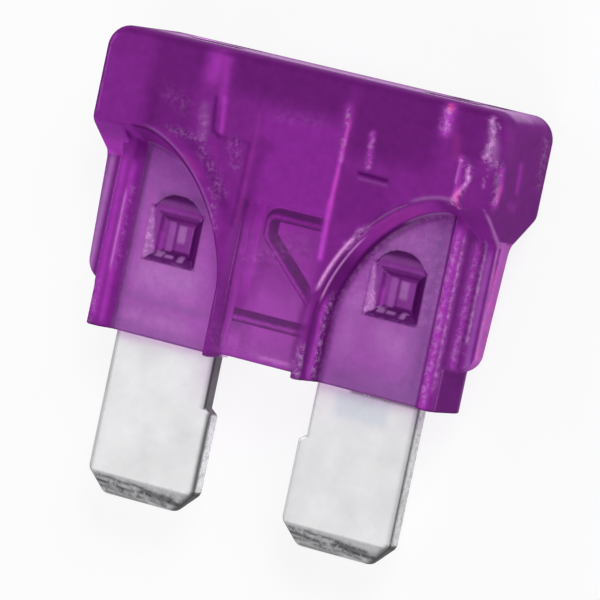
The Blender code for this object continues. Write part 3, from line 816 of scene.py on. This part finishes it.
def paint_right_arch(paint, outside):
    """Bright rim of painted highlights with some wear, painted glow on the wall, and painted shade on the
    wall's lower part and at the foot.
    """
    x, y, az = paint.x, paint.y, paint.az
    wall = outside * near(arch_distance(x, y, az, 1), 0.12) * smooth(az, 0.72, 0.85) * (x > 1)
    paint.coat(PLUM, 0.5 * wall * within(y, -0.5, 6.6, 0.4))
    paint.coat(DEEP, 0.5 * wall * (1 - smooth(az, 0.95, 1.2)) * (1 - smooth(y, 7.2, 7.6)))
    paint.coat(GLOW, 0.5 * wall * within(az, 1.2, 2.1) * within(x, 3.6, 6.9, 0.4))
    paint.coat(PINK, 0.1 * wall * within(az, 1.2, 2.1) * within(x, 4.4, 6.2, 0.4))
    paint.coat(GLOW, 0.85 * wall * near(az - 1.5, 0.25) * within(y, 0.1, 3.4, 0.3))
    paint.fleck(SCUFF_AND_GLINT, 0.9 * wall * near(az - 1.25, 0.3) * within(y, 0.1, 3.6, 0.3))
    paint.coat(ROSE, 0.95 * wall * near(az - 1.88, 0.08) * within(y, 3.4, 6.1, 0.25))
    paint.coat(LILAC, 0.5 * wall * near(az - 1.0, 0.15) * within(x, 5.3, 7.2, 0.2))
    rim = arch_distance(x, y, CAP_T / 2, 1)
    face = outside * on_face(az) * (x > 1.5)
    paint.coat(ROSE, 0.95 * face * near(rim - 0.12, 0.08) * within(y, 3.8, 6.1, 0.2))
    paint.fleck(ROSE, 0.8 * face * near(rim - 0.1, 0.2) * within(y, 5.6, 6.6, 0.3))
    paint.coat(LILAC, 0.35 * face * near(rim - 0.12, 0.1) * within(x, 6.0, 7.8, 0.2))
    paint.coat(PLUM, 0.5 * face * near(rim - 0.35, 0.25) * within(y, 0.0, 3.2, 0.3))
    paint.fleck(SCUFF_AND_GLINT, 0.9 * face * near(rim - 0.1, 0.2) * within(y, 0.0, 1.4, 0.3))
    foot = arch_distance(x, y, WINDOW_T / 2, 1)
    pane = outside * on_pane(az) * (x > 2) * (x < WINDOW_X)
    paint.coat(PLUM, 0.75 * pane * near(foot + 0.05, 0.22))


def paint_left_arch(paint, outside):
    """Thin dark rim and dark foot, both painted shade, with a painted highlight in the pale line above
    the rim.
    """
    x, y, az = paint.x, paint.y, paint.az
    rim = arch_distance(x, y, CAP_T / 2, -1)
    face = outside * on_face(az) * (x < -1)
    below = face * (y < 8.7)
    end = smooth(x, -7.0, -6.4)
    paint.coat(PLUM, 0.35 * below * within(rim, 0.15, 0.9, 0.1) * (1 - smooth(y, 2.5, 4.5)))
    paint.coat(PINK, 0.12 * below * near(rim - 0.3, 0.15) * within(y, 7.0, 7.8, 0.2))
    paint.coat(DEEP, 0.4 * below * near(rim - 0.85, 0.4) * smooth(y, 5.0, 6.4))
    paint.coat(VIOLET, 0.8 * face * near(rim, 0.25) * (1 - end))
    paint.coat(LILAC, 0.25 * below * near(rim - 0.16, 0.07) * smooth(y, 4.8, 6.0) * end)
    paint.coat(DEEP, 0.75 * below * near(rim - 0.02, 0.08) * smooth(x, -7.6, -7.2))
    foot = arch_distance(x, y, WINDOW_T / 2, -1)
    pane = outside * on_pane(az) * (x < -2) * (x > -WINDOW_X)
    paint.coat(PLUM, 0.5 * pane * near(foot + 0.05, 0.12) * smooth(y, 7.2, 7.5))


def paint_pit(paint, side):
    """Rough pale left wall with painted highlights, and painted shade on the right and lower walls and
    the arc above.
    """
    u, v, az = paint.x - side * STAKE_X, paint.y - STAKE_Y, paint.az
    inside = (np.abs(u) < PIT_W / 2 + 0.03) & (np.abs(v) < PIT_H / 2 + 0.03)
    inside = inside & (az < WINDOW_T / 2 - 0.01) & (az > PEG_WEB / 2 - 0.02)
    arc = (np.abs(u) < 1.15) * within(v, PIT_H / 2 - 0.05, PIT_H / 2 + 0.7, 0.03)
    arc = arc * (az < WINDOW_T / 2 - 0.02)
    paint.coat(PLUM, 0.5 * arc)
    paint.coat(DEEP, 0.75 * arc * smooth(v, PIT_H / 2 + 0.2, PIT_H / 2 + 0.4))
    paint.coat(VIOLET, 0.6 * inside)
    paint.coat(DEEP, 0.85 * inside * smooth(-paint.nx, 0.3, 0.5))
    paint.coat(PLUM, 0.5 * inside * smooth(-paint.ny, 0.3, 0.5))
    paint.coat(DEEP, 0.75 * inside * smooth(paint.ny, 0.3, 0.5))
    wall = inside * smooth(paint.nx, 0.3, 0.5)
    depth = (u + PIT_W / 2) / (PIT_W / 2 - PIT_FLOOR_W / 2)
    pale = wall * (1 - smooth(depth, 0.25 - 0.22 * v, 0.45 - 0.22 * v))
    paint.coat(LILAC, 0.55 * pale)
    paint.fleck(ROSE, 0.95 * pale)
    paint.coat(GLOW, 0.45 * wall * near(depth - 0.75, 0.12) * within(v, -0.7, 0.1))
    floor = inside & (az < PEG_WEB / 2 + 0.06)
    paint.coat(MAUVE, 0.8 * floor * within(u, -0.55, -0.25, 0.05))
    paint.coat(LILAC, 0.55 * floor * within(u, -0.08, 0.28, 0.05) * within(v, -0.2, 0.5, 0.05))
    paint.coat(DEEP, 0.5 * floor * near(u + 0.17, 0.08))
    for u0, u1, v0, v1 in PIT_GLINTS:
        paint.coat(LILAC, 0.6 * inside * within(u, u0, u1, 0.04) * within(v, v0, v1, 0.04))


def paint_lower(paint, outside):
    """Painted light and shade, and wear, on the panes, pillars, ribs and the moulding's right side below
    the shoulder.
    """
    x, y, ax, az = paint.x, paint.y, paint.ax, paint.az
    flat = outside * on_pane(az) * (ax < WINDOW_X)
    draw(paint.coat, flat, x, y, PANE_MARKS)
    paint.fleck(DUSK, 0.45 * flat * (y < 3.2))
    paint.fleck(LILAC, 0.3 * flat * (y > 3.2) * (x > 0) * (az > WINDOW_T / 2 - 0.03))
    lower = outside * (az < PILLAR_T / 2 + 0.05) * (ax > WINDOW_X - 0.35)
    draw_streaks(paint.coat, lower, x, y, STREAKS)
    draw_streaks(paint.fleck, lower, x, y, STREAK_FLECKS)
    # Painted shade low on the right side with a painted highlight along its front edge, and painted light
    # on the rib's side face.
    side = outside * smooth(paint.nx, 0.6, 0.8) * (x > BODY_W / 2 - 0.05) * (y < 7.2)
    body = side * (y < RIB_FOOT_Y)
    paint.coat(PLUM, 0.6 * body)
    paint.coat(LILAC, 0.5 * body * smooth(paint.z, 0.85, 1.0))
    rib = side * (x > RIB_ROOT_X + 0.3)
    paint.coat(GLOW, 0.5 * rib)
    paint.coat(LILAC, 0.4 * rib)
    paint.fleck(PINK, 0.5 * rib)


def paint_housing(piece):
    """Milky cover by thickness, with painted light and shade and the marks that the moulding shows."""
    paint = Paint(piece, VIOLET, 0.0)
    x, y, z, ax, az = paint.x, paint.y, paint.z, paint.ax, paint.az
    outside = smooth(np.abs(void_distance(x, y, z)), 0.03, 0.08)
    pane = on_pane(az) * within(ax, 2.4, WINDOW_X) * (1 - smooth(y, 7.8, 8.1))
    glazed = within(x, -1.6, 2.3, 0.3) * within(y, 0.5, 6.6, 0.15) * smooth(az, 1.9, 2.1)
    paint.skin[:, 3] = outside * (0.84 - 0.1 * pane - 0.54 * glazed)
    # Painted light on the cavity's back wall, scattered behind the link.
    back = (1 - outside) * (z < CAVITY_T / 2 - 0.35) * (ax < 2.6)
    paint.coat(BACKLIGHT_GLOW, 0.9 * back)
    paint.coat(VIOLET, 0.85 * (1 - outside) * (y < FRONT_LIFT + 0.1) * (z > 0.9))
    paint.tint(MAUVE, pane)
    paint.tint(DUSK, np.where(x > 0, 0.4, 0.8) * pane * smooth(y, 4.6, 6.6))
    paint_faces(paint, outside)
    paint_ends(paint, outside)
    paint_top(paint, outside)
    paint_right_arch(paint, outside)
    paint_left_arch(paint, outside)
    paint_lower(paint, outside)
    paint_pit(paint, -1)
    paint_pit(paint, 1)
    # Painted shade along the bottom edge.
    paint.coat(DEEP, 0.45 * outside * (1 - smooth(y, 0.04, 0.1)))
    paint.keep()


# --- Colours and marks of the strip

ZINC = (0.985, 0.985, 1.0)
COOL = (0.66, 0.76, 0.86)  # bluish patch below the right pane
SPOT = (0.62, 0.62, 0.64)
# soft painted shade inside the blades' left edges
SOFT_EDGE_SHADE = (0.6, 0.6, 0.62)
WORN_AND_EDGE_SHADE = (0.5, 0.5, 0.52)
# wear on the coined tips, and painted shade beside the right edges
CREASE = (0.35, 0.35, 0.36)
SHEARED = (0.30, 0.30, 0.31)
# painted shade just inside the blades' left edges
LEFT_EDGE_SHADE = (0.25, 0.25, 0.26)
ROUGH = (0.12, 0.12, 0.13)
WAIST_EDGE = (0.10, 0.10, 0.105)
GRIT = (0.08, 0.08, 0.09)
BLUNT = (0.06, 0.06, 0.065)
INK = (0.02, 0.02, 0.02)
STREAK = (0.01, 0.01, 0.012)
BRIGHT_EDGE = (0.98, 0.98, 1.0)
PALE_EDGE = (0.8, 0.8, 0.82)
ENTRY_SHADOW = (0.10, 0.05, 0.09)  # painted shadow: dark line where the right blade enters the housing
WAIST_PALE = (0.9, 0.85, 0.92)
# Dark link, with a painted highlight along its bars
LINK_DARK = (0.02, 0.0, 0.03)
LINK_HIGHLIGHT = (0.98, 0.95, 1.0)

# Dark ragged streaks on the coined tips, with paths from a blade's left edge and up its tip
LONG_STREAK = ((0.2, 0.50), (0.9, 0.45), (1.5, 0.40), (2.1, 0.34), (2.8, 0.42), (3.6, 0.30), (4.5, 0.32))
TIP_STREAKS = (
    (STREAK, 0.75, 0.075, ((0.4, 0.66), (1.1, 0.68), (1.7, 0.60), (2.4, 0.63), (3.2, 0.52), (4.1, 0.48))),
    (STREAK, 0.9, 0.09, LONG_STREAK),
    (STREAK, 0.7, 0.075, ((0.6, 0.30), (1.5, 0.24), (2.2, 0.16), (3.0, 0.22), (3.9, 0.12))),
    (STREAK, 0.6, 0.18, ((2.7, 0.5), (3.4, 0.42), (4.2, 0.38))),
    (STREAK, 0.5, 0.075, ((1.0, 0.10), (2.0, 0.05), (3.0, 0.06))),
)

# Middles of the faint grey blotches on the blades
BLOTCHES = (
    (-6.9, -2.1), (-5.6, -1.0), (-3.2, -3.4), (-4.9, -4.2),
    (2.7, -4.6), (4.5, -2.6), (6.6, -3.9), (5.2, -5.0),
)


def paint_strip(piece):
    """Pale faces, dark sheared edges, streaked coined tips, a painted shadow where the right blade enters
    the housing, and a dark link with a painted highlight along it.
    """
    paint = Paint(piece, ZINC, 1.0)
    x, y = paint.x, paint.y
    flat = smooth(np.abs(paint.nz), 0.55, 0.9)
    paint.coat(COOL, 0.45 * within(x, 3.4, 5.9, 0.3) * within(y, -1.2, -0.1, 0.25))
    for spot_x, spot_y in BLOTCHES:
        paint.coat(SPOT, 0.15 * near(np.hypot(x - spot_x, (y - spot_y) / 1.6), 0.7))
    paint.coat(SHEARED, 0.8 * (1 - flat))
    paint_strip_edges(paint)
    paint_tips(paint)
    # Painted shadow where the right blade enters the housing.
    paint.coat(ENTRY_SHADOW, 0.9 * near(y + 0.07, 0.07) * within(x, 4.0, 7.2, 0.1))
    paint.coat(WAIST_PALE, 0.9 * (1 - flat) * (paint.ax < 2.95) * (y > 0.3))
    # Dark link, with a painted highlight along its bars.
    link = within(x, -2.4, 2.75, 0.05) * (paint.az < LINK_T / 2 + 0.01) * (y > 1)
    light = near(path_distance(x + 0.09, y + 0.09, link_path()), 0.11)
    paint.coat(LINK_DARK, 0.97 * link)
    paint.coat(LINK_HIGHLIGHT, 0.95 * link * light * flat)
    paint.fleck(INK, 0.5 * link)
    paint.keep()


def paint_strip_edges(paint):
    """The blades' sheared sides with painted light and shade on the right-facing ones, and painted shade
    in the dark lines just inside them.
    """
    x, y = paint.x, paint.y
    step = -STEP_DROP - STEP_RUN
    corner = TIP_CUT_Y - BLADE_DROP
    # Right-facing sides: painted shade on the left blade above the step and where they face down, painted
    # light below the step and on the right blade.
    right = smooth(paint.nx, 0.3, 0.6)
    paint.coat(WAIST_EDGE, 0.8 * right * within(y, step, 0.5, 0.05) * (x < 0))
    paint.coat(PALE_EDGE, 0.85 * right * within(y, corner, 0.5, 0.05) * (x > 0))
    paint.coat(BRIGHT_EDGE, 0.97 * right * within(y, corner, step, 0.05) * (x < 0))
    paint.fleck(ROUGH, 0.6 * right * within(y, corner, np.where(x < 0, step, 0.5), 0.05))
    paint.coat(INK, 0.97 * right * smooth(-paint.ny, 0.3, 0.5))
    from_left = left_edge(x, y)
    from_right = right_edge(x, y)
    below = y < 0.5
    front = paint.z > STRIP_T / 2 - 0.12
    # Painted shade along the rounded edges: a dark line inside the right edge with a grey band beside it,
    # and grey inside the left edge.
    paint.coat(INK, 0.95 * near(from_right - 0.04, 0.06) * front * below)
    paint.coat(BLUNT, 0.9 * near(from_right - 0.1, 0.1) * front * (y < step) * (x < 0))
    paint.coat(WORN_AND_EDGE_SHADE, 0.5 * near(from_right - 0.15, 0.12) * front * below)
    paint.coat(LEFT_EDGE_SHADE, 0.8 * (1 - smooth(from_left, 0.08, np.where(x < 0, 0.24, 0.14))) * below)
    paint.coat(SOFT_EDGE_SHADE, 0.3 * near(from_left, 0.35) * below * (1 - smooth(y, step - 0.1, step + 0.1)))


def paint_tips(paint):
    """Coined tips: darker, streaked, with painted shade on the cut corners."""
    x, y = paint.x, paint.y
    from_left = left_edge(x, y)
    from_right = right_edge(x, y)
    up = y + BLADE_DROP
    tip = 1 - smooth(up, TIP_BEVEL - 0.03, TIP_BEVEL + 0.03)
    paint.coat(WORN_AND_EDGE_SHADE, 0.75 * tip)
    draw(paint.coat, tip, from_left, up, TIP_STREAKS)
    paint.fleck(GRIT, 0.35 * tip)
    paint.coat(CREASE, 0.5 * near(up - TIP_BEVEL, 0.04))
    slant = math.hypot(TIP_CUT_X, TIP_CUT_Y)
    # Painted shade on the slanted faces of the cut corners.
    for inset, strength, width in ((from_left, 0.6, 0.08), (from_right, 0.95, 0.22)):
        cut = (inset * TIP_CUT_Y + up * TIP_CUT_X - TIP_CUT_X * TIP_CUT_Y) / slant
        paint.coat(INK, strength * near(cut, width) * (up < TIP_CUT_Y + 0.1))


def right_edge(x, y):
    """How far inside the right-hand edge of its blade a point lies."""
    return np.where(x > 0, STRIP_W / 2 - np.abs(x), np.abs(x) - inner_edge(y))


def left_edge(x, y):
    """How far inside the left-hand edge of its blade a point lies."""
    return np.where(x > 0, np.abs(x) - inner_edge(y), STRIP_W / 2 - np.abs(x))


def inner_edge(y):
    """Where the blades' edges on the gap between them lie."""
    return STRIP_W / 2 - BLADE_W + STEP_INSET * (y > -STEP_DROP - STEP_RUN / 2)


# --- Materials

class Nodes:
    """Small helper to add and join shader nodes."""

    def __init__(self, tree):
        self.tree = tree
        tree.nodes.clear()

    def add(self, kind, inputs=None, **settings):
        """A node with its settings, and its inputs set or linked."""
        node = self.tree.nodes.new("ShaderNode" + kind)
        for key, value in settings.items():
            setattr(node, key, value)
        for key, value in (inputs or {}).items():
            if isinstance(value, bpy.types.NodeSocket):
                self.tree.links.new(value, node.inputs[key])
            else:
                node.inputs[key].default_value = value
        return node

    def math(self, operation, a, b=0.0, clamp=False):
        """One operation on two values."""
        return self.add("Math", {0: a, 1: b}, operation=operation, use_clamp=clamp).outputs[0]

    def noise(self, vector, scale, detail=2.0, roughness=0.5):
        """Noise with its scale per metre."""
        inputs = {"Vector": vector, "Scale": scale, "Detail": detail, "Roughness": roughness}
        return self.add("TexNoise", inputs).outputs["Fac"]

    def ramp(self, value, low, high, a=0.0, b=1.0):
        """Takes the range from low to high to the range from a to b."""
        inputs = {"Value": value, 1: low, 2: high, 3: a, 4: b}
        return self.add("MapRange", inputs, clamp=True).outputs[0]

    def painted(self, where, mottled):
        """Colour and cover of the painted coats, with the flecks broken up."""
        skin = self.add("Attribute", attribute_name="skin").outputs
        flecks = self.add("Attribute", attribute_name="flecks").outputs
        specks = self.ramp(self.noise(where, 4500.0, 5.0, 0.75), 0.46, 0.62, 0.0, 0.75)
        share = self.math("MULTIPLY", flecks["Alpha"], specks)
        colour = self.add("MixRGB", {0: share, 1: skin["Color"], 2: flecks["Color"]}).outputs[0]
        mottle = self.ramp(self.noise(where, 2200.0, 4.0, 0.65), 0.3, 0.7, 1 - mottled, 1 + mottled)
        colour = self.add("VectorMath", {0: colour, "Scale": mottle}, operation="SCALE").outputs[0]
        bare = self.math("MULTIPLY", self.math("SUBTRACT", 1.0, skin["Alpha"]), share)
        return colour, self.math("ADD", skin["Alpha"], bare, clamp=True)


def new_material(name):
    """An empty material and its nodes."""
    made = bpy.data.materials.new(name)
    made.use_nodes = True
    return made, Nodes(made.node_tree)


def violet_plastic():
    """Clear body that absorbs with depth, under the painted milky coat. Lamps shine through it."""
    made, nodes = new_material("violet_plastic")
    where = nodes.add("TexCoord").outputs["Object"]
    fine = nodes.noise(where, 2600.0, 3.0, 0.6)
    wide = nodes.noise(where, 420.0, 2.0, 0.5)
    height = nodes.math("ADD", nodes.math("MULTIPLY", fine, 0.25), wide)
    bump = nodes.add("Bump", {"Strength": 0.25, "Distance": 0.00002, "Height": height})
    rough = nodes.ramp(fine, 0.35, 0.75, 0.03, 0.12)
    glass = nodes.add("BsdfPrincipled", {
        "Base Color": (1.0, 1.0, 1.0, 1.0),
        "Roughness": rough,
        "IOR": 1.53,
        "Specular IOR Level": 0.2,
        "Transmission Weight": 1.0,
        "Normal": bump.outputs[0],
    })
    colour, cover = nodes.painted(where, 0.1)
    milky = nodes.add("BsdfPrincipled", {
        "Base Color": colour,
        "Roughness": 0.45,
        "Specular IOR Level": 0.0,
        "Normal": bump.outputs[0],
    })
    body = nodes.add("MixShader", {0: cover, 1: glass.outputs[0], 2: milky.outputs[0]})
    clear = nodes.add("BsdfTransparent", {"Color": (0.84, 0.76, 0.84, 1.0)})
    light = nodes.add("LightPath")
    mix = nodes.add("MixShader", {
        0: light.outputs["Is Shadow Ray"],
        1: body.outputs[0],
        2: clear.outputs[0],
    })
    volume = nodes.add("VolumeAbsorption", {"Color": (0.75, 0.05, 0.775, 1.0), "Density": 2000.0})
    nodes.add("OutputMaterial", {"Surface": mix.outputs[0], "Volume": volume.outputs[0]})
    return made


def zinc():
    """Satin zinc sheet in its painted colours, with fine grain and uneven gloss."""
    made, nodes = new_material("zinc_strip")
    where = nodes.add("TexCoord").outputs["Object"]
    blotch = nodes.noise(where, 500.0, 3.0, 0.6)
    grain = nodes.noise(where, 6000.0, 2.0, 0.6)
    rough = nodes.ramp(blotch, 0.3, 0.7, 0.45, 0.6)
    bump = nodes.add("Bump", {"Strength": 0.2, "Distance": 0.00001, "Height": grain})
    metal = nodes.add("BsdfPrincipled", {
        "Base Color": nodes.painted(where, 0.03)[0],
        "Roughness": rough,
        "Metallic": 0.4,
        "Normal": bump.outputs[0],
    })
    nodes.add("OutputMaterial", {"Surface": metal.outputs[0]})
    return made


def paper():
    """Plain white floor: it keeps the shadow and shows white through the plastic."""
    made, nodes = new_material("white_floor")
    light = nodes.add("LightPath")
    seen = nodes.math("MAXIMUM", light.outputs["Is Camera Ray"], light.outputs["Is Glossy Ray"])
    seen = nodes.math("MAXIMUM", seen, light.outputs["Is Transmission Ray"])
    share = nodes.math("MULTIPLY", seen, FLOOR_GLOW)
    matte = nodes.add("BsdfDiffuse", {"Color": (0.9, 0.9, 0.9, 1.0)})
    glow = nodes.add("Emission", {"Color": (1.0, 1.0, 1.0, 1.0), "Strength": 1.0})
    mix = nodes.add("MixShader", {0: share, 1: matte.outputs[0], 2: glow.outputs[0]})
    nodes.add("OutputMaterial", {"Surface": mix.outputs[0]})
    return made


# --- Scene

FLOOR_REACH = 3000.0
FLOOR_GAP = 0.02
FLOOR_GLOW = 0.85  # share of plain white in how the floor is seen
WORLD_STRENGTH = 0.15
LAMP_SIZE = 120.0

# Lamps: name, place and power
LAMPS = (
    ("key", (110, 160, 170), 0.4),
    ("fill", (-220, 40, 90), 0.3),
    ("front", (60, -200, 140), 0.28),
)


def add_floor():
    """Floor just under the fuse."""
    mesh = bpy.data.meshes.new("floor")
    reach = FLOOR_REACH * MM
    corners = [(-reach, -reach, 0), (reach, -reach, 0), (reach, reach, 0), (-reach, reach, 0)]
    mesh.from_pydata(corners, [], [(0, 1, 2, 3)])
    floor = add_object("floor", mesh)
    floor.data.materials.append(paper())
    floor.location.z = -FLOOR_GAP * MM


def add_lamp(name, place_mm, power):
    """Soft lamp that points at the fuse."""
    data = bpy.data.lights.new(name, "AREA")
    data.shape = "SQUARE"
    data.size = LAMP_SIZE * MM
    data.energy = power
    lamp = add_object(name, data)
    lamp.location = Vector(place_mm) * MM
    lamp.rotation_euler = (-lamp.location).to_track_quat("-Z", "Y").to_euler()


def add_world():
    """Weak white light from all round."""
    world = bpy.data.worlds.new("studio")
    bpy.context.scene.world = world
    world.use_nodes = True
    shader = world.node_tree.nodes["Background"]
    shader.inputs["Color"].default_value = (1.0, 1.0, 1.0, 1.0)
    shader.inputs["Strength"].default_value = WORLD_STRENGTH


# Camera, turned about the fuse from straight in front of it
YAW, PITCH, ROLL = math.radians(29.37), math.radians(4.2), math.radians(11.88)
DISTANCE = 304.0
VIEW_WIDTH = 24.22  # what the picture takes in at that distance
SENSOR = 36.0
AIM = (0.0, 3.0, 0.0)
AIM_RIGHT, AIM_DOWN = 0.575, 0.18  # from there to the picture's middle


def add_camera():
    """Camera at the photograph's angle, in the fuse's own axes."""
    back = Vector((math.sin(YAW) * math.cos(PITCH), math.sin(PITCH), math.cos(YAW) * math.cos(PITCH)))
    right = Vector((math.cos(YAW), 0.0, -math.sin(YAW)))
    up = back.cross(right)
    across = right * math.cos(ROLL) + up * math.sin(ROLL)
    above = up * math.cos(ROLL) - right * math.sin(ROLL)
    aim = Vector(AIM) + across * AIM_RIGHT - above * AIM_DOWN
    eye = Vector(place(aim + back * DISTANCE))
    data = bpy.data.cameras.new("camera")
    data.sensor_width = SENSOR
    data.lens = SENSOR * DISTANCE / VIEW_WIDTH
    data.clip_start, data.clip_end = 0.01, 10.0
    camera = add_object("camera", data)
    turn = Matrix((across, above, back)).transposed()
    camera.matrix_world = Matrix.Translation(eye) @ turn.to_4x4()
    bpy.context.scene.camera = camera


def keeps_mesh(x, y, z):
    """Where the housing keeps its full mesh, because the paint there is in view."""
    return (z > 0.15) & (np.abs(void_distance(x, y, z)) > 0.04)


def add_housing():
    """The violet moulding."""
    low = (-CAP_W / 2, 0, -CAP_T / 2)
    high = (CAP_W / 2, CAP_TOP, CAP_T / 2)
    mesh_settings = HOUSING_PITCH, HOUSING_SHARE, keeps_mesh
    housing = mesh_piece("housing_moulding", housing_distance, low, high, *mesh_settings)
    paint_housing(housing)
    housing.data.materials.append(violet_plastic())
    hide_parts("housing")
    return housing


def add_strip():
    """The zinc stamping."""
    low = (-STRIP_W / 2, -BLADE_DROP, -STRIP_T / 2)
    high = (STRIP_W / 2, TAB_TOP, STRIP_T / 2)
    strip = mesh_piece("zinc_strip", strip_distance, low, high, STRIP_PITCH, STRIP_SHARE)
    paint_strip(strip)
    strip.data.materials.append(zinc())
    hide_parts("fuse_strip")
    return strip


def main():
    """Loads the frame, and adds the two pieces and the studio."""
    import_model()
    housing = add_housing()
    strip = add_strip()
    for piece in (housing, strip):
        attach(piece, "root")
    bpy.context.scene.view_settings.view_transform = "Standard"
    add_floor()
    add_world()
    for name, place_mm, power in LAMPS:
        add_lamp(name, place_mm, power)
    add_camera()


main()
